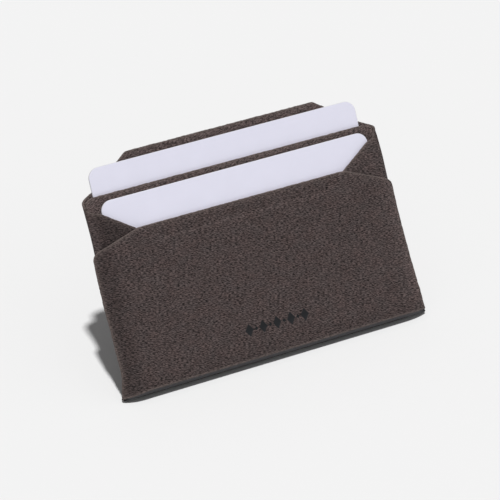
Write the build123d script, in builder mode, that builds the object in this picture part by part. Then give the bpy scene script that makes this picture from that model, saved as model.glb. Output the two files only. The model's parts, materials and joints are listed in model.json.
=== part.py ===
"""A card holder folded from one sheet of microsuede, with a bonded divider and two cards.

The holder leans back on its lower fold, with its back against a support. It is laid out
on its own face: x runs across it, y up it and z out of its front, with z = 0 on the back.
The origin is the middle of the back, where the support holds it.
"""

import os
from math import asin, atan2, cos, hypot, radians, sin, tan

from build123d import *

# Driving dimensions, in millimetres and degrees
lean_angle = 30.0  # back from upright
support_height = 35.0  # of the origin, up the back

sheet = 0.7  # microsuede
bond = 0.1  # adhesive film
clearance = 0.15  # between a card and the sheet, on each face
bond_margin = 1.5  # of a film from the edges it bonds

card_width = 85.6
card_height = 53.98
card_thickness = 0.76
card_corner = 3.18
front_card_seat = 4.1
rear_card_seat = 13.9
front_card_shift = 0.6  # towards the right
rear_card_shift = -0.25

holder_height = 70.0
holder_width = 94.0  # across the two side folds
front_width = 95.9  # the front panel stands proud of the side folds
front_height = 48.5
divider_height = 59.9
panel_start = 3.2  # where the flat panels rise out of the lower fold

back_top = 60.3  # length of the back panel's top edge
back_knee = (43.0, 61.1)  # the slanted cut flattens here, close to the side fold
back_corner = 60.2  # height where the slanted cut meets the side fold
wing_corner = 55.4  # height where the same cut comes round onto the wing
wing_knee = (42.9, 55.0)
wing_slope = 0.684  # of the wing's free edge, down to where it turns level
wing_drop = 5.0  # of the level edge below the top of the front panel
wing_gap = 0.3  # between the two wings, in the middle

front_top = 67.0  # length of the front panel's top edge
left_shoulder = 44.2
right_shoulder = 42.3
shoulder_radius = 2.5

crease_height = 2.5  # of the front panel's crease over the lowest point of the fold
heel_radius = 1.5  # of the lower fold's rounded back

divider_gap = 0.1  # at each end, inside the side folds
step_rise = 1.5  # of the slanted step between the divider and its foot

# The layers, from the back outwards
rear_card_depth = sheet + clearance
divider_depth = rear_card_depth + card_thickness + clearance
front_card_depth = divider_depth + sheet + clearance
wing_depth = front_card_depth + card_thickness + clearance
wing_bond_depth = wing_depth + sheet
front_depth = wing_bond_depth + bond
holder_depth = front_depth + sheet
foot_depth = sheet + bond

fold_radius = (wing_depth + sheet) / 2
fold_centre = holder_width / 2 - fold_radius
fold_inside = fold_radius - sheet
divider_reach = fold_centre + (fold_inside**2 - (sheet / 2) ** 2) ** 0.5 - divider_gap

# The lower fold's slanted face is tangent to its heel, which touches v = 0 at its lowest
heel_slope = atan2(crease_height - heel_radius, holder_depth - heel_radius)
heel_slope += asin(heel_radius / hypot(holder_depth - heel_radius, crease_height - heel_radius))
heel_corner = crease_height - holder_depth * tan(heel_slope)

# The divider steps back under the rear card, and its foot is bonded to the back panel
step_top = rear_card_seat + clearance
step_bottom = step_top - step_rise

# The holder's own directions, and the planes it is drawn on
up = Vector(0, sin(radians(lean_angle)), cos(radians(lean_angle)))
outward = Vector(0, -cos(radians(lean_angle)), sin(radians(lean_angle)))
across = Vector(1, 0, 0)
foot_point = up * -support_height
face = Plane(origin=foot_point, x_dir=across, z_dir=outward)
profile = Plane(origin=foot_point, x_dir=outward, z_dir=-across)  # x outwards, y up
plan = Plane(origin=foot_point, x_dir=across, z_dir=-up)  # x across, y outwards

sides = {"left": -1, "right": 1}

os.makedirs("parts", exist_ok=True)


def finish(part, name):
    """Label a finished piece and write it under its own name."""
    part.label = name
    export_step(part, f"parts/{name}.step")


def mirrored(right_half):
    """A closed outline from its right half, which is listed from the bottom up."""
    return right_half + [(-x, y) for x, y in reversed(right_half)]


# Back panel: the top corners are cut off along the slanted line
with BuildPart() as back_panel:
    with BuildSketch(face):
        back_half = [
            (fold_centre, panel_start),
            (fold_centre, back_corner),
            back_knee,
            (back_top / 2, holder_height),
        ]
        Polygon(*mirrored(back_half), align=None)
    extrude(amount=sheet)
finish(back_panel.part, "back_panel")

# Side folds: half a tube each, whose upper end is cut down towards the front
cut_drop = back_corner - wing_corner
cut_normal = outward * cut_drop + up * (2 * fold_radius)
cut_plane = Plane(origin=foot_point + up * back_corner, z_dir=cut_normal)
for side, sign in sides.items():
    with BuildPart() as side_fold:
        with BuildSketch(plan.offset(-panel_start)):
            with Locations((sign * fold_centre, fold_radius)):
                Circle(fold_radius)
                Circle(fold_inside, mode=Mode.SUBTRACT)
            outer_half = Keep.TOP if sign > 0 else Keep.BOTTOM
            split(bisect_by=Plane.YZ.offset(sign * fold_centre), keep=outer_half)
        extrude(amount=panel_start - back_corner)
        split(bisect_by=cut_plane, keep=Keep.BOTTOM)
    finish(side_fold.part, f"{side}_side_fold")

# Wings: folded forward round the sides to meet in the middle, with a free edge that slants
# down behind the front panel and runs on level there
wing_level = front_height - wing_drop
wing_turn = wing_knee[0] - (wing_knee[1] - wing_level) / wing_slope
for side, sign in sides.items():
    with BuildPart() as wing:
        with BuildSketch(face.offset(wing_depth)):
            Polygon(
                (sign * fold_centre, panel_start),
                (sign * fold_centre, wing_corner),
                (sign * wing_knee[0], wing_knee[1]),
                (sign * wing_turn, wing_level),
                (sign * wing_gap / 2, wing_level),
                (sign * wing_gap / 2, panel_start),
                align=None,
            )
        extrude(amount=sheet)
    finish(wing.part, f"{side}_wing")

# Adhesive films between the wings and the front panel
for side, sign in sides.items():
    film_width = fold_centre - wing_gap / 2 - 2 * bond_margin
    film_top = min(wing_level, left_shoulder, right_shoulder) - bond_margin
    film_height = film_top - panel_start - bond_margin
    film_middle = ((fold_centre + wing_gap / 2) / 2, film_top - film_height / 2)
    with BuildPart() as wing_bond:
        with BuildSketch(face.offset(wing_bond_depth)):
            with Locations((sign * film_middle[0], film_middle[1])):
                Rectangle(film_width, film_height)
        extrude(amount=bond)
    finish(wing_bond.part, f"{side}_wing_bond")

# Front panel: bonded over the wings, with its top corners cut off
with BuildPart() as front_panel:
    with BuildSketch(face.offset(front_depth)) as front_outline:
        Polygon(
            (-front_width / 2, panel_start),
            (front_width / 2, panel_start),
            (front_width / 2, right_shoulder),
            (front_top / 2, front_height),
            (-front_top / 2, front_height),
            (-front_width / 2, left_shoulder),
            align=None,
        )
        edge_points = front_outline.vertices().filter_by(lambda v: abs(v.X) > front_top / 2 + sheet)
        fillet(edge_points.filter_by(lambda v: v.Y > panel_start + sheet), radius=shoulder_radius)
    extrude(amount=sheet)
finish(front_panel.part, "front_panel")

# Lower fold: slants back from the front crease to a rounded heel under the back panel
with BuildPart() as bottom_fold:
    with BuildSketch(profile) as fold_profile:
        Polygon(
            (0, holder_height),
            (0, heel_corner),
            (holder_depth, crease_height),
            (holder_depth, holder_height),
            align=None,
        )
        fillet(fold_profile.vertices().sort_by(Axis.Y)[0], radius=heel_radius)
        offset(amount=-sheet, kind=Kind.INTERSECTION, mode=Mode.SUBTRACT)
        split(bisect_by=Plane.XZ.offset(-panel_start), keep=Keep.TOP)
    extrude(amount=front_width / 2, both=True)
finish(bottom_fold.part, "bottom_fold")

# Divider: between the two pockets, as wide as the side folds allow
with BuildPart() as divider:
    with BuildSketch(face.offset(divider_depth)):
        with Locations((0, (divider_height + step_top) / 2)):
            Rectangle(2 * divider_reach, divider_height - step_top)
    extrude(amount=sheet)
finish(divider.part, "divider")

# Divider step: brings the divider back to the back panel, as the rear card's seat
with BuildPart() as divider_step:
    with BuildSketch(profile):
        Polygon(
            (divider_depth, step_top),
            (divider_depth + sheet, step_top),
            (foot_depth + sheet, step_bottom),
            (foot_depth, step_bottom),
            align=None,
        )
    extrude(amount=fold_centre, both=True)
finish(divider_step.part, "divider_step")

# Divider foot: bonded flat to the inside of the back panel
with BuildPart() as divider_foot:
    with BuildSketch(face.offset(foot_depth)):
        with Locations((0, (step_bottom + panel_start) / 2)):
            Rectangle(2 * fold_centre, step_bottom - panel_start)
    extrude(amount=sheet)
finish(divider_foot.part, "divider_foot")

# Adhesive film between the divider's foot and the back panel
with BuildPart() as foot_bond:
    with BuildSketch(face.offset(sheet)):
        with Locations((0, (step_bottom + panel_start) / 2)):
            Rectangle(2 * (fold_centre - bond_margin), step_bottom - panel_start - 2 * bond_margin)
    extrude(amount=bond)
finish(foot_bond.part, "divider_foot_bond")

# Cards: the front one seated low, the rear one on the divider's step
cards = {
    "front_card": (front_card_shift, front_card_seat, front_card_depth),
    "rear_card": (rear_card_shift, rear_card_seat, rear_card_depth),
}
for name, (shift, seat, depth) in cards.items():
    with BuildPart() as card:
        with BuildSketch(face.offset(depth)):
            with Locations((shift, seat + card_height / 2)):
                RectangleRounded(card_width, card_height, card_corner)
        extrude(amount=card_thickness)
    finish(card.part, name)
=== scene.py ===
import json
import math

import bmesh
import bpy
import numpy as np
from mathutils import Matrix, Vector, noise
from mathutils.geometry import delaunay_2d_cdt


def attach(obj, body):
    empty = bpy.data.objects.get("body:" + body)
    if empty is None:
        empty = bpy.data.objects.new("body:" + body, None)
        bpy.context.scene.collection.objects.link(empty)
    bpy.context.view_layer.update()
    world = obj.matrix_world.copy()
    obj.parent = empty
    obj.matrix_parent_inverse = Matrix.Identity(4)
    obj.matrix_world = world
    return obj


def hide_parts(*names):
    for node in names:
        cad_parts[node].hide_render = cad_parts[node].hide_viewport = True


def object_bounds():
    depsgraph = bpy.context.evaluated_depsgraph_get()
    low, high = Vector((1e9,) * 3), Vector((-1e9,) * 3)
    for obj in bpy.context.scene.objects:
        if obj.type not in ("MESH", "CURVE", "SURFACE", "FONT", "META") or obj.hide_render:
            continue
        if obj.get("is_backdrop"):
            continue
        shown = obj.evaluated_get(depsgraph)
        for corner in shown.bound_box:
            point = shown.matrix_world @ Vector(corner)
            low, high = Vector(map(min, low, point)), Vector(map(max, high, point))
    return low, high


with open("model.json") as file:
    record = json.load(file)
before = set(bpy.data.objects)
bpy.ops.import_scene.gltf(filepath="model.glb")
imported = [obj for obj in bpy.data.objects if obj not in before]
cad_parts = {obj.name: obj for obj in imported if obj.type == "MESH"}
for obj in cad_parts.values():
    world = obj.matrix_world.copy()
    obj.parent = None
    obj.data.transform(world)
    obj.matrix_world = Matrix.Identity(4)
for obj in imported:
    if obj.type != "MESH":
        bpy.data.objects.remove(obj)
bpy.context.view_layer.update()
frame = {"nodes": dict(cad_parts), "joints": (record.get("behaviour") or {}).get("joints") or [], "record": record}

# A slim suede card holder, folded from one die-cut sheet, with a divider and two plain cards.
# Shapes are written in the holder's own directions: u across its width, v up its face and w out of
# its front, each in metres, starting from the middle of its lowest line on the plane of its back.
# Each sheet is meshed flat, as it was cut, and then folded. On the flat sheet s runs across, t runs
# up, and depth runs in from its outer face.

MM = 0.001


# ---------------------------------------------------------------- directions and sizes from the frame

def named(rows, name):
    """The row of a list that has a name."""
    return next(row for row in rows if row["name"] == name)


OUT = -Vector(named(frame["record"]["mounts"], "back_face")["axis"])
UP = Vector(named(frame["joints"], "front_card_slide")["axis"])
ACROSS = UP.cross(OUT)
AXES = np.array([ACROSS, UP, OUT])


def measured(node):
    """A node's vertices as distances across, up and out, from the frame's origin."""
    vertices = frame["nodes"][node].data.vertices
    return np.array([vertex.co for vertex in vertices]) @ AXES.T


LOWEST = measured("bottom_fold")[:, 1].min()


def local(node):
    """A node's vertices, starting from the holder's lowest line."""
    return measured(node) - [0, LOWEST, 0]


def reach(node, axis):
    """How low and how high a node goes along one of the holder's directions."""
    values = local(node)[:, axis]
    return values.min(), values.max()


def signed_area(loop):
    """The area inside a loop, which is negative where the loop runs clockwise."""
    following = np.roll(loop, -1, axis=0)
    return (loop[:, 0] * following[:, 1] - loop[:, 1] * following[:, 0]).sum() / 2


WELD = 0.001 * MM  # nearer vertices are one
FACING = 0.99  # cosine that a face on the front of a node passes


def outline(node):
    """The outline of a flat node's front face, anticlockwise from its lower right corner."""
    shape = bmesh.new()
    shape.from_mesh(frame["nodes"][node].data)
    bmesh.ops.remove_doubles(shape, verts=shape.verts, dist=WELD)
    shape.normal_update()
    front = [face for face in shape.faces if face.normal.dot(OUT) > FACING]
    rim = [edge for face in front for edge in face.edges]
    rim = [edge for edge in rim if rim.count(edge) == 1]
    beside = {}
    for edge in rim:
        for vertex in edge.verts:
            beside.setdefault(vertex.index, []).append(edge.other_vert(vertex).index)
    walk = [rim[0].verts[0].index, beside[rim[0].verts[0].index][0]]
    while len(walk) < len(rim):
        walk.append(next(index for index in beside[walk[-1]] if index != walk[-2]))
    shape.verts.ensure_lookup_table()
    loop = np.array([shape.verts[index].co for index in walk]) @ AXES.T
    shape.free()
    loop = loop[:, :2] - [0, LOWEST]
    if signed_area(loop) < 0:
        loop = loop[::-1]
    return np.roll(loop, -np.argmax(loop[:, 0] - loop[:, 1] * 2), axis=0)


SHEET = reach("back_panel", 2)[1]  # thickness of the suede
PANEL_START = reach("back_panel", 1)[0]  # where the panels rise out of the lower fold
FOLD_CENTRE = reach("back_panel", 0)[1]  # of a side fold
FOLD_RADIUS = reach("left_side_fold", 2)[1] / 2
FOLD_LENGTH = math.pi * (FOLD_RADIUS - SHEET / 2)
WING_START = FOLD_CENTRE + FOLD_LENGTH  # on the flat sheet
DEPTH = reach("front_panel", 2)[1]  # from the back to the face of the front panel
FRONT_HALF = reach("front_panel", 0)[1]
BOND_DEPTH = np.ptp(reach("left_wing_bond", 2))


# ---------------------------------------------------------------- the lower fold's profile

CREASE_HEIGHT = 2.5 * MM
CREASE_RADIUS = 0.32 * MM  # of the outer face
HEEL_RADIUS = 1.3 * MM
HEEL_LIFT = 0.75 * MM
INNER_RADIUS = 0.05 * MM  # the least that the inner face bends to


def unit(vector):
    return vector / np.linalg.norm(vector)


def heel_corner():
    """Where the slanted underside would meet the back, were the heel not rounded."""
    run = DEPTH - HEEL_RADIUS
    rise = CREASE_HEIGHT - HEEL_RADIUS - HEEL_LIFT
    slant = math.atan2(rise, run) + math.asin(HEEL_RADIUS / math.hypot(run, rise))
    return CREASE_HEIGHT - DEPTH * math.tan(slant)


class Profile:
    """A line of straight runs and rounded corners, which places points along it and in from it."""

    def __init__(self, corners, radii):
        self.corners = [np.array(corner) for corner in corners]
        runs = list(zip(self.corners, self.corners[1:]))
        self.inward = [np.array([-unit(b - a)[1], unit(b - a)[0]]) for a, b in runs]
        self.radii = radii
        turns = [math.acos(float(a @ b)) for a, b in zip(self.inward, self.inward[1:])]
        cuts = [0] + [r * math.tan(turn / 2) for r, turn in zip(radii, turns)] + [0]
        self.lengths = []
        for i, (a, b) in enumerate(runs):
            self.lengths.append(np.linalg.norm(b - a) - cuts[i] - cuts[i + 1])
            if i < len(radii):
                self.lengths.append(radii[i] * turns[i])
        self.ends = np.cumsum(self.lengths)
        self.starts = np.concatenate([[0], self.ends[:-1]])
        self.length = self.ends[-1]

    def bisector(self, i):
        a, b = self.inward[i], self.inward[i + 1]
        return (a + b) / (1 + a @ b)

    def arc(self, i, share, depth):
        """Points on rounded corner i, share of the way round it."""
        radius = np.maximum(self.radii[i] - depth, INNER_RADIUS)[:, None]
        centre = self.corners[i + 1] + self.bisector(i) * (depth[:, None] + radius)
        a, b = self.inward[i], self.inward[i + 1]
        turn = math.acos(float(a @ b))
        part = share[:, None] * turn
        spoke = (np.sin(turn - part) * a + np.sin(part) * b) / math.sin(turn)
        return centre - spoke * radius

    def run_start(self, i, depth):
        if i == 0:
            return self.corners[0] + np.outer(depth, self.inward[0])
        return self.arc(i - 1, np.ones(len(depth)), depth)

    def run_end(self, i, depth):
        if i == len(self.radii):
            return self.corners[-1] + np.outer(depth, self.inward[-1])
        return self.arc(i, np.zeros(len(depth)), depth)

    def place(self, along, depth):
        """Points so far along the line and so deep in from it."""
        result = np.zeros((len(along), 2))
        for k, (start, end) in enumerate(zip(self.starts, self.ends)):
            here = along >= start
            share = np.clip((along[here] - start) / (end - start), 0, 1)
            if k % 2:
                result[here] = self.arc(k // 2, share, depth[here])
            else:
                first = self.run_start(k // 2, depth[here])
                last = self.run_end(k // 2, depth[here])
                result[here] = first + (last - first) * share[:, None]
        return result


UNDERSIDE = Profile(
    [(0, PANEL_START), (0, heel_corner()), (DEPTH, CREASE_HEIGHT), (DEPTH, PANEL_START)],
    [HEEL_RADIUS, CREASE_RADIUS],
)
HEEL_START, HEEL_END = UNDERSIDE.ends[:2]
CREASE_AT = UNDERSIDE.ends[2] + UNDERSIDE.lengths[3] / 2


# ---------------------------------------------------------------- how the sheets settle in use

def smooth(value):
    """A ramp from 0 to 1, level at both ends."""
    value = np.clip(value, 0, 1)
    return value * value * (3 - 2 * value)


def ramp(value, start, end):
    """0 at start and 1 at end, level at both. Either may be the higher."""
    return smooth((value - start) / (end - start))


def sided(u, pair):
    """The left or the right one of a pair, by the side that u is on."""
    return np.where(u < 0, pair[0], pair[1])


def near_side(u, width):
    """0 until width from the front's side, and 1 at it."""
    return np.maximum(abs(u) - (FRONT_HALF - width), 0) / width


BACK_LAYERS = 2.2 * MM  # depth over which they are reached


def behind(w):
    """0 in the front panel, rising to 1 in the layers behind it."""
    return smooth((DEPTH - SHEET - w) / BACK_LAYERS)


BULGE_LEFT = 0.3 * MM
BULGE_LOW = (20 * MM, 30 * MM)  # heights where it starts and is full
BULGE_HIGH = (47 * MM, 37 * MM)  # and from above
BULGE_RIGHT = 0.95 * MM
BULGE_FADE = (36 * MM, 8 * MM)


def bulge(u, v):
    """How far the sides stand out: the left one half way up, the right one more and more below."""
    left = BULGE_LEFT * ramp(v, *BULGE_LOW) * ramp(v, *BULGE_HIGH)
    right = BULGE_RIGHT * ramp(v, *BULGE_FADE)
    return sided(u, (left, right))


FLARE = (0.68 * MM, 1.45 * MM)  # left and right
FLARE_WIDTH = 12 * MM
FLARE_HEIGHT = 11 * MM
TUCK = (0.5 * MM, 0)


def spread(u, v, w):
    """Sideways: the lower corners flare, with the left one's back layers tucked behind the front."""
    flare = sided(u, FLARE) - sided(u, TUCK) * behind(w)
    wide = flare * smooth(1 - v / FLARE_HEIGHT) + bulge(u, v)
    return np.sign(u) * smooth(near_side(u, FLARE_WIDTH)) * wide


SHIFT = (0.35 * MM, 0.6 * MM)  # left and right
SHIFT_LOW = (8 * MM, 20 * MM)
SHIFT_HIGH = (62 * MM, 48 * MM)
SHIFT_INNER = (42.3 * MM, 44.3 * MM)


def fold_shift(u, v, w):
    """Sideways: both side folds lean a little to the right behind the front."""
    height = ramp(v, *SHIFT_LOW) * ramp(v, *SHIFT_HIGH)
    layers = smooth((DEPTH - SHEET - w) / BOND_DEPTH)
    return sided(u, SHIFT) * height * ramp(abs(u), *SHIFT_INNER) * layers


PINCH_LENGTH = 8 * MM
PINCH_HEEL = 0.15 * MM
PINCH_CREASE = (0.85 * MM, 0.35 * MM)  # left and right
PINCH_TOP = 9 * MM


def pinched(u):
    """0 along the lower fold, rising to 1 at its ends."""
    return smooth(near_side(u, PINCH_LENGTH))


def pinch(u, v):
    """Upwards: at the lower fold's ends the heel rises and the crease drops."""
    drop = sided(u, PINCH_CREASE)
    underside = PINCH_HEEL - (PINCH_HEEL + drop) * (v - HEEL_LIFT) / (CREASE_HEIGHT - HEEL_LIFT)
    front = -drop * ramp(v, PINCH_TOP, CREASE_HEIGHT)
    return pinched(u) * np.where(v < CREASE_HEIGHT, underside, front)


CURL = 0.9 * MM
CURL_WIDTH = 9 * MM
CURL_LOW = (4 * MM, 20 * MM)
CURL_LAYERS = (2.6 * MM, 3.6 * MM)  # depths out from the back
MOUTH = 0.7 * MM
MOUTH_LOW = (50 * MM, 56 * MM)
MOUTH_INNER = (43.3 * MM, 44.5 * MM)


def curl(u, v, w):
    """Backwards: the front's sides curl, and the mouth narrows at the top of the side folds."""
    side = CURL * near_side(u, CURL_WIDTH) ** 3 * ramp(v, *CURL_LOW)
    mouth = MOUTH * ramp(v, *MOUTH_LOW) * ramp(abs(u), *MOUTH_INNER)
    return (side + mouth) * ramp(w, *CURL_LAYERS)


CORNER_CURL = (2.7 * MM, 1.8 * MM)  # left and right
CORNER_WIDTH = 7 * MM
CORNER_TOP = (9 * MM, 3 * MM)


def corner_curl(u, v, w):
    """Backwards: the front's lower corners curl in, the left one more."""
    corner = sided(u, CORNER_CURL) * near_side(u, CORNER_WIDTH) ** 2
    return corner * ramp(v, *CORNER_TOP) * smooth((w - SHEET) / (DEPTH - 2 * SHEET))


SLIT = 0.5 * MM  # in the flat sheet, between a wing's lower end and the lower fold
CLOSE = 0.7 * MM
CLOSE_TOP = PANEL_START - 0.2 * MM
CLOSE_INNER = 1.5 * MM


def closing(u, v, w):
    """Forwards: the back of the lower fold closes against its front at the ends."""
    below = smooth((PANEL_START - v) / MM)
    free = smooth((abs(u) - FOLD_CENTRE) / CLOSE_INNER) * (v < CLOSE_TOP)
    return CLOSE * behind(w) * pinched(u) * np.maximum(below, free)


def settled(points):
    """Places in the folded holder, after the small shifts of use."""
    u, v, w = points.T
    return np.column_stack([
        u + spread(u, v, w) + fold_shift(u, v, w),
        v + pinch(u, v),
        w - curl(u, v, w) - corner_curl(u, v, w) + closing(u, v, w),
    ])


# ---------------------------------------------------------------- the outer sheet, flat and folded

WING_EDGE = outline("right_wing")
WING_EDGE = WING_EDGE[WING_EDGE[:, 1] > PANEL_START + MM]
WING_EDGE = WING_EDGE[np.argsort(WING_EDGE[:, 0])]
SINK = 0.72 * MM
SINK_WIDTH = 1.2 * MM
SINK_START = 0.2  # share of the width that lies over the wings
LEAN_IN = 0.05 * MM
LEAN_WIDTH = 5 * MM


def free_edge(u):
    """The height of the wings' free edges behind the front."""
    return np.interp(abs(u), WING_EDGE[:, 0], WING_EDGE[:, 1])


def sunk(u, v):
    """How far the front panel sinks where it runs on past the wings' free edges."""
    beyond = v - free_edge(u)
    return SINK * smooth(beyond / SINK_WIDTH + SINK_START) + LEAN_IN * smooth(beyond / LEAN_WIDTH)


def fold_outer(flat):
    """The outer sheet's fold: round each side into a wing, and under the heel into the front."""
    s, t, depth = flat.T
    side = np.where(s < 0, -1.0, 1.0)
    reach_out = abs(s)
    angle = np.clip((reach_out - FOLD_CENTRE) / (WING_START - FOLD_CENTRE), 0, 1) * math.pi
    radius = FOLD_RADIUS - depth
    past = np.maximum(reach_out - WING_START, 0)
    u = np.minimum(reach_out, FOLD_CENTRE) + radius * np.sin(angle) - past
    wrapped = np.column_stack([side * u, t, FOLD_RADIUS - radius * np.cos(angle)])
    along = PANEL_START - t
    under = UNDERSIDE.place(np.clip(along, 0, UNDERSIDE.length), depth)
    height = under[:, 1] + np.maximum(along - UNDERSIDE.length, 0)
    sink = np.where(along > CREASE_AT, sunk(s, height), 0)
    turned = np.column_stack([s, height, under[:, 0] - sink])
    lower = along > np.where(reach_out > FOLD_CENTRE, SLIT / 2, 0)
    return settled(np.where(lower[:, None], turned, wrapped))


def flat_front(points):
    """Places of the front panel, seen from the front, as places on the flat sheet."""
    up = points[:, 1] - PANEL_START
    return np.column_stack([points[:, 0], PANEL_START - UNDERSIDE.length - up])


def flat_wing(points, side):
    """Places of a wing, seen from the front, as places on the flat sheet."""
    return np.column_stack([side * (WING_START + FOLD_CENTRE) - points[:, 0], points[:, 1]])


HAIR = 0.01 * MM


def above(points, height):
    """The points that are more than a hair above a height."""
    return points[points[:, 1] > height + HAIR]


CREST_LEFT = (0.35, 0.5 * MM)  # share of the way round the fold, and rise over its straight cut
CREST_RIGHT = (0.6, 1.25 * MM)
BACK_RISE = 0.2 * MM


def outer_outline():
    """The die-cut sheet laid flat, anticlockwise: right wing, back's top, left wing, front."""
    back = above(outline("back_panel"), PANEL_START)
    front = above(outline("front_panel")[::-1], PANEL_START)
    right_flat = flat_wing(above(outline("right_wing"), PANEL_START)[::-1], 1)
    left_flat = flat_wing(above(outline("left_wing"), PANEL_START)[::-1], -1)
    wing_end = right_flat[:, 0].max()
    low = PANEL_START - SLIT
    corner = back[0, 1]
    drop = corner - right_flat[-1, 1]

    def crest(side, share, rise):
        """A point on a side fold's upper edge, so far round it and so high over a straight cut."""
        return side * (FOLD_CENTRE + FOLD_LENGTH * share), corner - drop * share + rise

    back[back[:, 1] > back[:, 1].max() - MM, 1] += BACK_RISE
    return np.vstack([
        [(FOLD_CENTRE, PANEL_START), (wing_end, PANEL_START)],
        right_flat,
        [crest(1, *CREST_RIGHT)],
        back,
        [crest(-1, *CREST_LEFT)],
        left_flat,
        [(-wing_end, PANEL_START), (-FOLD_CENTRE, PANEL_START)],
        [(-FOLD_CENTRE, low), (-FRONT_HALF, low)],
        flat_front(front),
        [(FRONT_HALF, low), (FOLD_CENTRE, low)],
    ])


# ---------------------------------------------------------------- meshes of cut sheets

BATCH = 200  # points compared at a time


def resampled(loop, step):
    """The loop with points no further apart than step."""
    points = []
    for a, b in zip(loop, np.roll(loop, -1, axis=0)):
        count = max(1, math.ceil(np.linalg.norm(b - a) / step))
        points += [a + (b - a) * k / count for k in range(count)]
    return np.array(points)


def relaxed(loop, passes):
    """The loop with its corners eased, as a cutting die leaves them."""
    for _ in range(passes):
        loop = (np.roll(loop, 1, axis=0) + 2 * loop + np.roll(loop, -1, axis=0)) / 4
    return loop


def outward(loop):
    """The direction out of the loop at each of its points."""
    along = np.roll(loop, -1, axis=0) - np.roll(loop, 1, axis=0)
    along /= np.linalg.norm(along, axis=1)[:, None]
    return np.column_stack([along[:, 1], -along[:, 0]])


def inside(points, loop):
    """Which points are inside the loop."""
    result = np.zeros(len(points), bool)
    x, y = points.T
    for (x0, y0), (x1, y1) in zip(loop, np.roll(loop, -1, axis=0)):
        crosses = (y0 > y) != (y1 > y)
        if crosses.any():
            result ^= crosses & (x < (x1 - x0) * (y - y0) / (y1 - y0) + x0)
    return result


def nearest(points, loop):
    """How far each point is from the nearest of the loop's own points."""
    away = np.full(len(points), np.inf)
    for start in range(0, len(loop), BATCH):
        gaps = np.linalg.norm(points[:, None] - loop[None, start:start + BATCH], axis=2)
        away = np.minimum(away, gaps.min(axis=1))
    return away


def grid(columns, rows):
    """A point for each column in each row."""
    s, t = np.meshgrid(columns, rows)
    return np.column_stack([s.ravel(), t.ravel()])


def spaced(low, high, step):
    """Even values from low to high, no further apart than step."""
    return np.linspace(low, high, max(2, math.ceil((high - low) / step) + 1))


def spanning(node, step):
    """An even grid of points over a flat node."""
    return grid(spaced(*reach(node, 0), step), spaced(*reach(node, 1), step))


EDGE_STEP = 0.4 * MM
EDGE_CLEAR = 0.8 * EDGE_STEP
BAND_CLEAR = 0.5 * EDGE_STEP
GRID_STEP = 1.3 * MM
TOUCH = 1e-9
EDGE_SWELL = 0.6  # of a cut edge's middle, to its rounding
FRAY_WAVES = [(0.35 * MM, 3.0), (1.4 * MM, 8.0)]  # length of each, and its seed
SHARP = math.radians(38)


def frayed(loop, height):
    """Slow smooth unevenness along a cut edge, up to about height either way for each wave."""
    ragged = np.zeros(len(loop))
    for length, seed in FRAY_WAVES:
        ragged += [height * noise.noise(Vector((s / length, t / length, seed))) for s, t in loop]
    return ragged


def ring_edges(first, count):
    """The edges round a ring of count points, numbered from first."""
    return [(first + k, first + (k + 1) % count) for k in range(count)]


def triangulated(inner, facing, fill, rings):
    """The face inside the loop inner: its points, its triangles, and the loop's places among them."""
    band = inner - facing * EDGE_STEP
    band = band[inside(band, inner) & (nearest(band, inner) >= EDGE_CLEAR)]
    points = fill[inside(fill, inner) & (nearest(fill, inner) >= EDGE_CLEAR)]
    points = points[nearest(points, band) >= BAND_CLEAR]
    points = np.vstack([inner, band, points] + rings)
    edges = ring_edges(0, len(inner))
    first = len(points) - sum(len(ring) for ring in rings)
    for ring in rings:
        edges += ring_edges(first, len(ring))
        first += len(ring)
    made = delaunay_2d_cdt([Vector(point) for point in points], edges, [], 1, TOUCH)
    found, triangles, origin = made[0], made[2], made[3]
    at = {source: k for k, sources in enumerate(origin) for source in sources}
    rim = [at[k] for k in range(len(inner))]
    return np.array([tuple(point) for point in found]), triangles, rim


def closed_faces(triangles, rim, total, bands):
    """The faces of a sheet's two sides and of the bands round its cut edge between them."""
    count = len(rim)
    under = total + bands * count
    loops = [rim]
    loops += [range(total + k * count, total + (k + 1) * count) for k in range(bands)]
    loops += [[under + k for k in rim]]
    faces = [tuple(triangle) for triangle in triangles]
    faces += [tuple(under + k for k in reversed(triangle)) for triangle in triangles]
    for upper, lower in zip(loops, loops[1:]):
        for k in range(count):
            after = (k + 1) % count
            faces.append((upper[k], lower[k], lower[after], upper[after]))
    return faces


def cut_sheet(name, loop, fill, fold, thickness, rounding, fray=0.0, rings=(), relief=None):
    """A closed mesh of a sheet cut to loop, its corner rounded by rounding, and folded by fold."""
    facing = outward(loop)
    border = loop + facing * frayed(loop, fray)[:, None]
    face, triangles, rim = triangulated(border - facing * rounding, facing, fill, list(rings))
    dent = relief(face) if relief else np.zeros(len(face))
    swollen = border + facing * (rounding * EDGE_SWELL)
    bands = [(border, rounding), (swollen, thickness / 2), (border, thickness - rounding)]
    flat = [np.column_stack([face, dent])]
    flat += [np.column_stack([ring, np.full(len(ring), depth)]) for ring, depth in bands]
    flat += [np.column_stack([face, np.full(len(face), thickness)])]
    flat = np.vstack(flat)
    cut = np.zeros(len(flat))
    cut[len(face):-len(face)] = 1
    faces = closed_faces(triangles, rim, len(face), len(bands))
    return finished_mesh(name, fold(flat), faces, flat, cut)


def finished_mesh(name, places, faces, flat, cut):
    """A piece with its faces turned outwards, which keeps its places on the flat sheet."""
    mesh = bpy.data.meshes.new(name)
    world = (places + [0, LOWEST, 0]) @ AXES
    mesh.from_pydata([tuple(point) for point in world], [], faces)
    mesh.validate()
    shape = bmesh.new()
    shape.from_mesh(mesh)
    bmesh.ops.recalc_face_normals(shape, faces=shape.faces)
    shape.to_mesh(mesh)
    shape.free()
    mesh.shade_smooth()
    mesh.set_sharp_from_angle(angle=SHARP)
    add_values(mesh, "flat", flat, "FLOAT_VECTOR")
    add_values(mesh, "cut", cut)
    piece = bpy.data.objects.new(name, mesh)
    bpy.context.scene.collection.objects.link(piece)
    return piece


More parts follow.
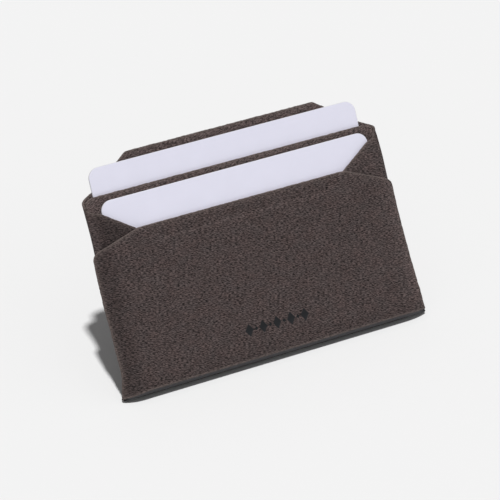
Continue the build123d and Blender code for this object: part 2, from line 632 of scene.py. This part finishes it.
def add_values(mesh, name, values, kind="FLOAT"):
    """A named value at each of a mesh's vertices."""
    attribute = mesh.attributes.new(name, kind, "POINT")
    key = "vector" if kind == "FLOAT_VECTOR" else "value"
    attribute.data.foreach_set(key, np.asarray(values, np.float32).ravel())


def read_flat(piece):
    """A piece's places on the flat sheet."""
    values = np.zeros(len(piece.data.vertices) * 3, np.float32)
    piece.data.attributes["flat"].data.foreach_get("vector", values)
    return values.reshape(-1, 3)


# ---------------------------------------------------------------- the debossed ornament

ORNAMENT_CENTRE = (2.0 * MM, 11.0 * MM)
ORNAMENT_STEP = 0.3 * MM
ORNAMENT_CLEAR = 0.35 * MM
LOZENGE = np.array([1.5 * MM, 2.2 * MM])  # half its width and height
DOT = np.array([0.65 * MM, 0.65 * MM])
LOZENGE_GAP = 4.5 * MM
LOZENGES = 5
DEBOSS = 0.16 * MM
DEBOSS_FLOOR = 0.8  # share of a shape's size that is flat


def ornament():
    """Centres and half sizes of the lozenges and the dots between them, on the flat sheet."""
    shapes = []
    for k in range(2 * LOZENGES - 1):
        u = ORNAMENT_CENTRE[0] + (k - (LOZENGES - 1)) * LOZENGE_GAP / 2
        place = flat_front(np.array([[u, ORNAMENT_CENTRE[1]]]))[0]
        shapes.append((place, DOT if k % 2 else LOZENGE))
    return shapes


def ornament_rings():
    """The outline and the floor of each debossed shape."""
    corners = np.array([(1, 0), (0, 1), (-1, 0), (0, -1)])
    sizes = [(place, size * share) for place, size in ornament() for share in (1.0, DEBOSS_FLOOR)]
    return [resampled(place + corners * size, ORNAMENT_STEP) for place, size in sizes]


def ornament_depth(flat):
    """1 on the floor of a debossed shape, falling to 0 at its outline."""
    depth = np.zeros(len(flat))
    for place, size in ornament():
        edge = (abs(flat[:, :2] - place) / size).sum(axis=1)
        depth = np.maximum(depth, np.clip((1 - edge) / (1 - DEBOSS_FLOOR), 0, 1))
    return depth


def clear_of_ornament(points):
    """The points that are outside every debossed shape."""
    for place, size in ornament():
        points = points[(abs(points - place) / (size + ORNAMENT_CLEAR)).sum(axis=1) > 1]
    return points


# ---------------------------------------------------------------- the suede pieces

FRAY = 0.09 * MM
OUTER_EASE = 2  # how often the die's corners are eased
DIVIDER_EASE = 3
SUEDE_ROUNDING = 0.12 * MM
LIFT_HIGHLIGHT_WIDTH = 0.38 * MM


def lifted_and_highlit(flat, loop):
    """1 at a cut edge, where the nap stands up and a painted highlight lies, falling away inside it."""
    return np.exp(-nearest(flat[:, :2], loop) / LIFT_HIGHLIGHT_WIDTH)


def add_suede_values(piece, loop, tone, **values):
    """The places that the suede's colour depends on, each 0 all over where it isn't given."""
    blank = np.zeros(len(piece.data.vertices))
    for name in ("pressed", "rubbed", "marks", "wear"):
        add_values(piece.data, name, values.get(name, blank))
    add_values(piece.data, "tone", blank + tone)
    add_values(piece.data, "lift_highlight", lifted_and_highlit(read_flat(piece), loop))


SIDE_SHADE_AND_LIGHT = (0.71, 1.42)  # painted shade at the front's left side and painted light at its right side
SIDE_WIDTH = 8 * MM
SIDE_SPEED = 1.5  # of the left side's change over that width
LOW_TONE = 0.86  # just above the crease
LOW_WIDTH = 4 * MM
# Painted shade on the left wing; the right wing barely changes.
WING_SHADE = (0.60, 1.03)
WING_FADE = (-1.3 * MM, 0.7 * MM)  # from the start of a wing
INNER_TONE = 1.45  # inside the pockets


def toned(tone, share):
    """The tone where share is 1, and no change where it is 0."""
    return 1 + (tone - 1) * share


def outer_tone(flat):
    """Painted shade towards the front's left side and on the left wing, painted light towards its right side;
    darker just above the crease and lighter inside the pockets.
    """
    s, t, depth = flat.T
    up_front = PANEL_START - UNDERSIDE.length - t
    wrapped = t > PANEL_START
    near = np.clip(near_side(s, SIDE_WIDTH), 0, 1)
    share = sided(s, (smooth(near * SIDE_SPEED), near ** 2))
    tone = toned(sided(s, SIDE_SHADE_AND_LIGHT), share * smooth(up_front / MM))
    tone *= toned(LOW_TONE, smooth(1 - up_front / LOW_WIDTH) * (up_front > -MM))
    tone *= toned(sided(s, WING_SHADE), ramp(abs(s) - WING_START, *WING_FADE) * wrapped)
    return tone * np.where((depth > SHEET / 2) & wrapped, INNER_TONE, 1)


FOLD_STEP = 0.3 * MM
BACK_SPAN = 75 * MM
FRONT_SPAN = 60 * MM
UNDERSIDE_ROWS = (2, 12, 4, 6, 2)  # in each run and corner of the lower fold
RIDGE_STEP = 0.7 * MM
RIDGE_ROWS = np.linspace(-0.3, 1.0, 7) * SINK_WIDTH


def wrap_points():
    """Points over the back and the wings, closer together round the side folds."""
    arc = spaced(FOLD_CENTRE, WING_START, FOLD_STEP)
    span = spaced(-FOLD_CENTRE, FOLD_CENTRE, GRID_STEP)
    wing = spaced(WING_START, WING_START + FOLD_CENTRE, GRID_STEP)[1:]
    columns = np.concatenate([-wing[::-1], -arc[::-1], span[1:-1], arc, wing])
    return grid(columns, spaced(PANEL_START, PANEL_START + BACK_SPAN, GRID_STEP))


def front_points():
    """Points over the lower fold and the front, closer together round the heel and the crease."""
    runs = zip(UNDERSIDE.starts, UNDERSIDE.ends, UNDERSIDE_ROWS)
    along = [np.linspace(start, end, rows + 1)[1:] for start, end, rows in runs]
    along.append(spaced(UNDERSIDE.length, UNDERSIDE.length + FRONT_SPAN, GRID_STEP)[1:])
    across = spaced(-FRONT_HALF - MM, FRONT_HALF + MM, GRID_STEP)
    return grid(across, PANEL_START - np.concatenate(along))


def ridge_points():
    """Rows of points where the front sinks past the wings' free edges."""
    u = spaced(-FRONT_HALF, FRONT_HALF, RIDGE_STEP)
    return flat_front(np.vstack([np.column_stack([u, free_edge(u) + row]) for row in RIDGE_ROWS]))


def outer_relief(flat):
    """How deep the ornament is pressed into the sheet."""
    return ornament_depth(flat) * DEBOSS


# Where the underside's painted shade ends and fades, how far the painted light runs past the heel, and how wide
# the crease's painted highlight is.
PRESSED_SHADE_END = CREASE_AT - 0.1 * MM
PRESSED_SHADE_FADE = 0.25 * MM
HEEL_LIGHT_WIDTH = 1.8 * MM
CREASE_HIGHLIGHT_WIDTH = 0.34 * MM


def dress_outer(piece, loop):
    """The pressed underside painted in shade, painted light on its heel, a painted highlight on the crease and the
    dark floors of the ornament.
    """
    flat = read_flat(piece)
    along = PANEL_START - flat[:, 1]
    outside = flat[:, 2] < SHEET / 2
    pressed = ramp(along, HEEL_START - MM, HEEL_START)
    pressed *= ramp(along, PRESSED_SHADE_END, PRESSED_SHADE_END - PRESSED_SHADE_FADE)
    add_suede_values(
        piece, loop, outer_tone(flat),
        pressed=pressed * outside,
        # Painted light on the heel, where the crevice at the floor lies in shade.
        rubbed=smooth(1 - (along - HEEL_END) / HEEL_LIGHT_WIDTH) * outside,
        marks=ornament_depth(flat) * outside,
        wear=np.exp(-((along - CREASE_AT) / CREASE_HIGHLIGHT_WIDTH) ** 2) * outside,
    )


def outer_sheet():
    """The one sheet that makes the back, both side folds, both wings, the lower fold and the front."""
    loop = relaxed(resampled(outer_outline(), EDGE_STEP), OUTER_EASE)
    fill = clear_of_ornament(np.vstack([wrap_points(), front_points(), ridge_points()]))
    piece = cut_sheet(
        "outer_sheet", loop, fill, fold_outer, SHEET, SUEDE_ROUNDING, FRAY,
        rings=ornament_rings(), relief=outer_relief,
    )
    dress_outer(piece, loop)
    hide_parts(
        "back_panel", "left_side_fold", "right_side_fold", "left_wing", "right_wing",
        "bottom_fold", "front_panel",
    )
    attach(piece, "holder")
    return piece


DIVIDER_TONE = 1.42
DIVIDER_CORNER = (2 * MM, MM)  # cut off each upper corner, across and down
STEP_START = 11.9 * MM
STEP_END = 13.85 * MM
STEP_SPACING = 0.2 * MM


def fold_divider(flat):
    """The divider's fold: a foot on the back, a step forward, and a leaf between the pockets."""
    s, t, depth = flat.T
    near, far = reach("divider_foot", 2)[0], reach("divider", 2)[0]
    w = near + (far - near) * ramp(t, STEP_START, STEP_END)
    return settled(np.column_stack([s, t, w + SHEET - depth]))


def divider_outline():
    """The divider laid flat, anticlockwise: its foot between the side folds, and its wider leaf."""
    half, foot_half = reach("divider", 0)[1], reach("divider_foot", 0)[1]
    low, waist, high = reach("divider_foot", 1)[0], reach("divider", 1)[0], reach("divider", 1)[1]
    across, down = DIVIDER_CORNER
    right = [
        (foot_half, low), (foot_half, waist), (half, waist + MM),
        (half, high - down), (half - across, high),
    ]
    return np.array(right + [(-s, t) for s, t in reversed(right)])


def divider_sheet():
    """The second sheet, which parts the pockets and carries the rear card on its step."""
    corners = divider_outline()
    half = corners[:, 0].max()
    low, high = corners[:, 1].min(), corners[:, 1].max()
    loop = relaxed(resampled(corners, EDGE_STEP), DIVIDER_EASE)
    rows = np.concatenate([
        spaced(low, STEP_START, GRID_STEP),
        spaced(STEP_START, STEP_END, STEP_SPACING)[1:],
        spaced(STEP_END, high, GRID_STEP)[1:],
    ])
    fill = grid(spaced(-half, half, GRID_STEP), rows)
    piece = cut_sheet("divider_sheet", loop, fill, fold_divider, SHEET, SUEDE_ROUNDING, FRAY)
    add_suede_values(piece, loop, DIVIDER_TONE)
    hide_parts("divider", "divider_step", "divider_foot")
    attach(piece, "holder")
    return piece


# ---------------------------------------------------------------- cards and films

CARD_ROUNDING = 0.1 * MM
FILM_ROUNDING = 0.02 * MM
LAYER_STEP = MM
LAYER_GRID = 6 * MM


def flat_layer(node, name, body, rounding, steady):
    """A flat piece cut to a node's outline. It stays steady, or settles with the sheets round it."""
    low, high = reach(node, 2)

    def lay(flat):
        points = np.column_stack([flat[:, 0], flat[:, 1], high - flat[:, 2]])
        return points if steady else settled(points)

    loop = resampled(outline(node), LAYER_STEP)
    piece = cut_sheet(name, loop, spanning(node, LAYER_GRID), lay, high - low, rounding)
    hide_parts(node)
    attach(piece, body)
    return piece


# ---------------------------------------------------------------- materials

class Shader:
    """A material's node tree, with short calls to add and join its nodes."""

    def __init__(self, name):
        self.material = bpy.data.materials.new(name)
        self.material.use_nodes = True
        self.tree = self.material.node_tree
        self.surface = next(n for n in self.tree.nodes if n.type == "BSDF_PRINCIPLED")

    def add(self, kind, inputs=(), **settings):
        node = self.tree.nodes.new("ShaderNode" + kind)
        for key, value in settings.items():
            setattr(node, key, value)
        for key, value in dict(inputs).items():
            self.put(node.inputs[key], value)
        return node

    def put(self, socket, value):
        if isinstance(value, bpy.types.NodeSocket):
            self.tree.links.new(value, socket)
        else:
            socket.default_value = value

    def set(self, **values):
        for key, value in values.items():
            self.put(self.surface.inputs[key.replace("_", " ")], value)

    def value(self, name):
        return self.add("Attribute", attribute_name=name).outputs["Fac"]

    def pattern(self, pattern, turn=0.0):
        """A soft irregular pattern on the flat sheet, turned in its plane."""
        cells, detail, waviness = pattern
        place = self.add("Attribute", attribute_name="flat").outputs["Vector"]
        if turn:
            inputs = {"Vector": place, "Angle": -turn}
            place = self.add("VectorRotate", inputs, rotation_type="Z_AXIS").outputs[0]
        place = self.add("VectorMath", {0: place, 1: cells}, operation="MULTIPLY").outputs[0]
        inputs = {"Vector": place, "Scale": 1.0, "Detail": detail, "Distortion": waviness}
        return self.add("TexNoise", {**inputs, "Roughness": PATTERN_ROUGH}).outputs["Fac"]

    def math(self, operation, a, b, clamp=False):
        return self.add("Math", {0: a, 1: b}, operation=operation, use_clamp=clamp).outputs[0]

    def ranged(self, value, old, new=(0.0, 1.0)):
        """The value carried over from the range old to the range new, and kept inside it."""
        inputs = {"Value": value, "From Min": old[0], "From Max": old[1]}
        return self.add("MapRange", {**inputs, "To Min": new[0], "To Max": new[1]}).outputs[0]

    def mix(self, share, a, b, blend="MIX"):
        node = self.add("Mix", data_type="RGBA", blend_type=blend)
        for socket, value in zip((node.inputs[0], node.inputs[6], node.inputs[7]), (share, a, b)):
            self.put(socket, value)
        return node.outputs[2]

    def bump(self, height, distance, strength):
        inputs = {"Strength": strength, "Distance": distance, "Height": height}
        return self.add("Bump", inputs).outputs[0]


# Patterns: cells to the metre along the nap, across it and through the sheet, detail, and waviness
STRANDS = ((1250, 5200, 3000), 1.0, 0.4)
CLUMPS = ((600, 1700, 900), 2.0, 0.3)
PATCHES = ((150, 190, 170), 2.0, 0.0)
TINTS = ((240, 300, 270), 1.0, 0.0)
MOTTLE = ((160, 160, 160), 3.0, 0.0)
PEBBLE = ((5200, 5200, 5200), 1.0, 0.0)
TAKEN_UP = ((700, 700, 700), 3.0, 0.0)
PATTERN_ROUGH = 0.5
BRUSHED = math.radians(15)  # the nap's turn on the flat sheet
BROAD = (0.3, 0.7)  # the part of a pattern's range that is used

NAP_RANGE = (0.40, 0.60)
CLUMP_SHARE = (-0.09, 0.09)
PATCH_SHARE = (-0.045, 0.045)
NAP_DARK = (0.0160, 0.0116, 0.0113, 1)
NAP_LIGHT = (0.138, 0.1025, 0.0985, 1)
WARM = (1.03, 0.992, 0.983, 1)
COOL = (0.97, 1.007, 1.018, 1)

# Lighter nap along the cut edges: partly nap that stands up, partly a painted highlight where the edges catch the
# light.
NAP_LIFTED_HIGHLIT = (0.185, 0.146, 0.134, 1)
LIFTED_HIGHLIT_RANGE = (0.35, 0.6)
LIFTED_HIGHLIT_SHARE = (0.45, 1.0)
CUT_EDGE = (0.12, 0.095, 0.087, 1)
CUT_SHARE = 0.5
# A painted highlight along the lower crease.
CREASE_HIGHLIGHT = (0.175, 0.138, 0.127, 1)
CREASE_HIGHLIGHT_RANGE = (0.3, 0.6)
CREASE_HIGHLIGHT_SHARE = (0.4, 0.9)
# Painted shade on the underside, dark bluish grey, and painted light on its heel.
UNDERSIDE_SHADE = (0.045, 0.045, 0.049, 1)
PAINTED_HEEL_LIGHT = (0.080, 0.080, 0.085, 1)
STAMPED = (0.0125, 0.0135, 0.0155, 1)

NAP_HEIGHT = 0.6 * MM
CLUMP_HEIGHT = 0.5  # to the strands' own
NAP_BUMP = (1.0, 0.1)  # standing, and pressed flat
NAP_ROUGH = (0.92, 0.6)
NAP_SPECULAR = 0.2
SHEEN = 0.08
SHEEN_ROUGH = 0.5
SHEEN_TINT = (0.9, 0.82, 0.8, 1)


def nap_colour(shader, strands, clumps):
    """The standing nap: dark between its strands and light on them, in clumps and faint patches."""
    patches = shader.pattern(PATCHES)
    tint = shader.pattern(TINTS)
    nap = shader.ranged(strands, NAP_RANGE)
    nap = shader.math("ADD", nap, shader.ranged(clumps, BROAD, CLUMP_SHARE))
    nap = shader.math("ADD", nap, shader.ranged(patches, BROAD, PATCH_SHARE), clamp=True)
    colour = shader.mix(nap, NAP_DARK, NAP_LIGHT)
    tinted = shader.mix(shader.ranged(tint, BROAD), COOL, WARM)
    return shader.mix(1.0, colour, tinted, "MULTIPLY")


def used_colour(shader, colour, strands):
    """The nap with its tone, its lifted cut edges with a painted highlight, a painted highlight on the crease, and
    painted shade on the pressed underside with painted light on its heel.
    """
    # The tone holds painted shade on the front's left side and left wing, and painted light on its right side.
    tone = shader.add("Attribute", attribute_name="tone").outputs["Color"]
    colour = shader.mix(1.0, colour, tone, "MULTIPLY")
    # Lighter cut edges: standing nap with a painted highlight.
    edge_strands = shader.ranged(strands, LIFTED_HIGHLIT_RANGE, LIFTED_HIGHLIT_SHARE)
    colour = shader.mix(shader.math("MULTIPLY", shader.value("lift_highlight"), edge_strands), colour, NAP_LIFTED_HIGHLIT)
    colour = shader.mix(shader.math("MULTIPLY", shader.value("cut"), CUT_SHARE), colour, CUT_EDGE)
    # A painted highlight along the crease.
    highlit = shader.ranged(strands, CREASE_HIGHLIGHT_RANGE, CREASE_HIGHLIGHT_SHARE)
    colour = shader.mix(shader.math("MULTIPLY", shader.value("wear"), highlit), colour, CREASE_HIGHLIGHT)
    # Painted shade on the pressed underside, with painted light on its heel.
    shaded_underside = shader.mix(shader.value("rubbed"), UNDERSIDE_SHADE, PAINTED_HEEL_LIGHT)
    colour = shader.mix(shader.value("pressed"), colour, shaded_underside)
    return shader.mix(shader.value("marks"), colour, STAMPED)


def suede(name):
    """Napped microsuede: short fibres brushed across the sheet and pressed in places, with painted shade, painted
    light and painted highlights.
    """
    shader = Shader(name)
    strands = shader.pattern(STRANDS, BRUSHED)
    clumps = shader.pattern(CLUMPS, BRUSHED)
    colour = used_colour(shader, nap_colour(shader, strands, clumps), strands)
    flattened = shader.math("MAXIMUM", shader.value("pressed"), shader.value("marks"))
    height = shader.math("ADD", strands, shader.math("MULTIPLY", clumps, CLUMP_HEIGHT))
    bump = shader.bump(height, NAP_HEIGHT, shader.ranged(flattened, (0, 1), NAP_BUMP))
    rough = shader.ranged(flattened, (0, 1), NAP_ROUGH)
    shader.set(Base_Color=colour, Roughness=rough, Normal=bump)
    shader.set(Specular_IOR_Level=NAP_SPECULAR, Sheen_Weight=SHEEN, Sheen_Roughness=SHEEN_ROUGH)
    shader.set(Sheen_Tint=SHEEN_TINT)
    return shader.material


CARD_FACE = (0.770, 0.763, 0.882, 1)
CARD_SHADE = (0.760, 0.753, 0.870, 1)
CARD_EDGE = (0.66, 0.66, 0.70, 1)
CARD_ROUGH = (0.42, 0.52)
CARD_SPECULAR = 0.4
MOTTLE_RANGE = (0.35, 0.65)
PEBBLE_HEIGHT = 0.02 * MM
PEBBLE_STRENGTH = 0.15


def card_stock():
    """Satin white card stock: faint mottle, a fine pebbled overlay and a duller cut edge."""
    shader = Shader("card_stock")
    mottle = shader.pattern(MOTTLE)
    pebble = shader.pattern(PEBBLE)
    colour = shader.mix(shader.ranged(mottle, MOTTLE_RANGE), CARD_SHADE, CARD_FACE)
    colour = shader.mix(shader.value("cut"), colour, CARD_EDGE)
    rough = shader.ranged(mottle, BROAD, CARD_ROUGH)
    bump = shader.bump(pebble, PEBBLE_HEIGHT, PEBBLE_STRENGTH)
    shader.set(Base_Color=colour, Roughness=rough, Normal=bump, Specular_IOR_Level=CARD_SPECULAR)
    return shader.material


FILM_DARK = (0.09, 0.08, 0.075, 1)
FILM_LIGHT = (0.15, 0.14, 0.13, 1)
FILM_ROUGH = (0.3, 0.55)
FILM_HEIGHT = 0.03 * MM
FILM_STRENGTH = 0.4


def transfer_film():
    """Dark transfer adhesive: slightly glossy, with the mottle of the nap it has taken up."""
    shader = Shader("transfer_film")
    taken_up = shader.pattern(TAKEN_UP)
    colour = shader.mix(shader.ranged(taken_up, BROAD), FILM_DARK, FILM_LIGHT)
    bump = shader.bump(taken_up, FILM_HEIGHT, FILM_STRENGTH)
    rough = shader.ranged(taken_up, BROAD, FILM_ROUGH)
    shader.set(Base_Color=colour, Roughness=rough, Normal=bump)
    return shader.material


def dress(piece, material):
    """Gives a piece its one material."""
    piece.data.materials.clear()
    piece.data.materials.append(material)


# ---------------------------------------------------------------- stage, light and camera

FLOOR_SIZE = 40.0
FLOOR_COLOUR = (0.80, 0.80, 0.80, 1)


def floor(height):
    """A plain pale floor."""
    mesh = bpy.data.meshes.new("floor")
    half = FLOOR_SIZE / 2
    corners = [(x, y, height) for x, y in ((-half, -half), (half, -half), (half, half), (-half, half))]
    mesh.from_pydata(corners, [], [(0, 1, 2, 3)])
    ground = bpy.data.objects.new("floor", mesh)
    bpy.context.scene.collection.objects.link(ground)
    shader = Shader("floor_paper")
    shader.set(Base_Color=FLOOR_COLOUR, Roughness=1.0, Specular_IOR_Level=0.0)
    mesh.materials.append(shader.material)
    ground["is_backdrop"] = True


BACKGROUND = 0.8879
FILL = 0.21
KEY_STRENGTH = 2.92
KEY_ANGLE = math.radians(3.5)
KEY_FROM = Vector((-0.060, -0.174, 1.0))
WHITE = (1, 1, 1, 1)


def studio_light():
    """A small high key light and a weak even fill, against a background as pale as the floor."""
    lamp = bpy.data.lights.new("key", "SUN")
    lamp.energy = KEY_STRENGTH
    lamp.angle = KEY_ANGLE
    key = bpy.data.objects.new("key", lamp)
    key.rotation_euler = KEY_FROM.to_track_quat("Z", "Y").to_euler()
    bpy.context.scene.collection.objects.link(key)
    world = bpy.data.worlds.new("studio")
    bpy.context.scene.world = world
    world.use_nodes = True
    tree = world.node_tree
    background = next(n for n in tree.nodes if n.type == "BACKGROUND")
    seen = tree.nodes.new("ShaderNodeBackground")
    path = tree.nodes.new("ShaderNodeLightPath")
    mixed = tree.nodes.new("ShaderNodeMixShader")
    output = next(n for n in tree.nodes if n.type == "OUTPUT_WORLD")
    background.inputs["Color"].default_value = WHITE
    background.inputs["Strength"].default_value = FILL
    seen.inputs["Color"].default_value = WHITE
    seen.inputs["Strength"].default_value = BACKGROUND
    tree.links.new(path.outputs["Is Camera Ray"], mixed.inputs[0])
    tree.links.new(background.outputs[0], mixed.inputs[1])
    tree.links.new(seen.outputs[0], mixed.inputs[2])
    tree.links.new(mixed.outputs[0], output.inputs["Surface"])


AZIMUTH = math.radians(-26.35)
ELEVATION = math.radians(34.81)
DISTANCE = 0.814
LENS = 201.56
SENSOR = 36.0
AIM = (0.0, -5.0 * MM, 3.0 * MM)  # across, up and out from the frame's origin
AIM_RIGHT = -1.20 * MM
AIM_UP = 3.10 * MM


def camera():
    """A long lens, above and to the left of the front."""
    towards = Vector((
        math.sin(AZIMUTH) * math.cos(ELEVATION),
        -math.cos(AZIMUTH) * math.cos(ELEVATION),
        math.sin(ELEVATION),
    ))
    turn = towards.to_track_quat("Z", "Y")
    target = ACROSS * AIM[0] + UP * AIM[1] + OUT * AIM[2]
    target += turn @ Vector((AIM_RIGHT, AIM_UP, 0))
    data = bpy.data.cameras.new("camera")
    data.lens = LENS
    data.sensor_width = SENSOR
    view = bpy.data.objects.new("camera", data)
    view.rotation_euler = turn.to_euler()
    view.location = target + towards * DISTANCE
    bpy.context.scene.collection.objects.link(view)
    bpy.context.scene.camera = view


def build():
    """The two sheets, the two cards and the three films, each in its material."""
    outer = outer_sheet()
    divider = divider_sheet()
    dress(outer, suede("outer_suede"))
    dress(divider, suede("divider_suede"))
    stock = card_stock()
    for name in ("front_card", "rear_card"):
        dress(flat_layer(name, name + "_blank", name, CARD_ROUNDING, True), stock)
    film = transfer_film()
    for name in ("left_wing_bond", "right_wing_bond", "divider_foot_bond"):
        dress(flat_layer(name, name + "_film", "holder", FILM_ROUNDING, False), film)


camera()
studio_light()
build()
bpy.context.view_layer.update()
floor(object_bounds()[0][2])
bpy.context.scene.view_settings.view_transform = "Standard"
